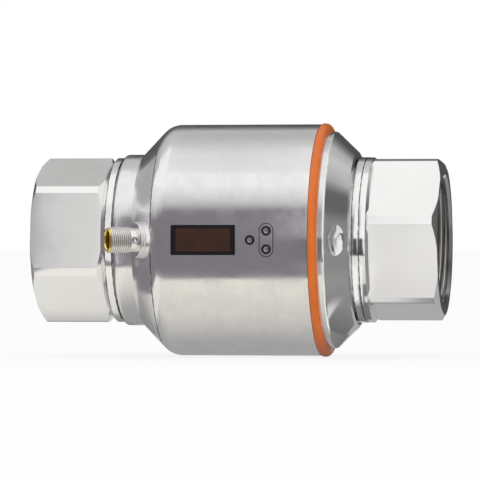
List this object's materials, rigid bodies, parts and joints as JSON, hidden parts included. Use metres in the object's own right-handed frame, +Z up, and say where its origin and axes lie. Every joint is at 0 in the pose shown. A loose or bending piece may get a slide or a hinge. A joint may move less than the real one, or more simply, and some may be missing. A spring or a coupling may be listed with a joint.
{
  "type": "inline flow sensor",
  "caption": "Inline flow sensor: brushed drum housing with sloped ends, hexagonal threaded pipe adapters, display window, sprung push buttons and a tilted plug connector.",
  "frame": {"origin": "on the flow axis at mid-length of the sensor", "axes": "+X along the flow axis from the inlet to the outlet end, the display faces -Y, +Z up"},
  "size_m": [0.193, 0.1145, 0.1108],
  "materials": {
    "brushed_steel": "brushed stainless sheet",
    "turned_steel": "turned and polished stainless",
    "tube_steel": "drawn stainless tube",
    "orange_seal": "satin orange elastomer",
    "liner_plastic": "natural insulating plastic",
    "black_rubber": "matt black rubber",
    "window_plastic": "smoked red-brown pane",
    "black_plastic": "black moulding",
    "button_plastic": "dark satin cap",
    "board_laminate": "green circuit laminate",
    "moulded_plastic": "natural moulding",
    "fastener_steel": "bright steel",
    "display_black": "dark display block",
    "magnet_iron": "soft iron",
    "copper_wire": "enamelled copper wire",
    "electrode_steel": "polished stainless",
    "boss_steel": "turned stainless",
    "nickel_plate": "bright nickel plate",
    "gold_plate": "gold-coloured plate"
  },
  "bodies": {
    "body": {"housing_shell": "brushed_steel", "end_cover": "brushed_steel", "inlet_adapter": "turned_steel", "outlet_adapter": "turned_steel", "flow_tube": "tube_steel", "seal_ring": "orange_seal", "tube_liner": "liner_plastic", "inlet_gasket": "black_rubber", "outlet_gasket": "black_rubber", "window_gasket": "black_rubber", "connector_seal": "black_rubber", "display_window": "window_plastic", "button_guide": "black_plastic", "main_board": "board_laminate", "upper_board_rail": "moulded_plastic", "lower_board_rail": "moulded_plastic", "upper_bobbin": "moulded_plastic", "lower_bobbin": "moulded_plastic", "front_electrode_bush": "moulded_plastic", "rear_electrode_bush": "moulded_plastic", "tactile_switches": "moulded_plastic", "board_screws": "fastener_steel", "electrode_nuts": "fastener_steel", "display_module": "display_black", "return_yoke": "magnet_iron", "upper_pole_shoe": "magnet_iron", "lower_pole_shoe": "magnet_iron", "upper_winding": "copper_wire", "lower_winding": "copper_wire", "front_electrode": "electrode_steel", "rear_electrode": "electrode_steel", "connector_boss": "boss_steel", "connector_body": "nickel_plate", "connector_insert": "gold_plate", "connector_lining": "gold_plate", "connector_pins": "gold_plate"},
    "enter_button": {"button_enter": "button_plastic"},
    "up_button": {"button_up": "button_plastic"},
    "down_button": {"button_down": "button_plastic"}
  },
  "joints": [
    {"name": "enter_press", "type": "slide", "parent": "body", "child": "enter_button", "axis": [0, 1, 0], "range_m": [0, 0.0006], "stiffness_N_per_m": 600},
    {"name": "up_press", "type": "slide", "parent": "body", "child": "up_button", "axis": [0, 1, 0], "range_m": [0, 0.0006], "stiffness_N_per_m": 600},
    {"name": "down_press", "type": "slide", "parent": "body", "child": "down_button", "axis": [0, 1, 0], "range_m": [0, 0.0006], "stiffness_N_per_m": 600}
  ]
}
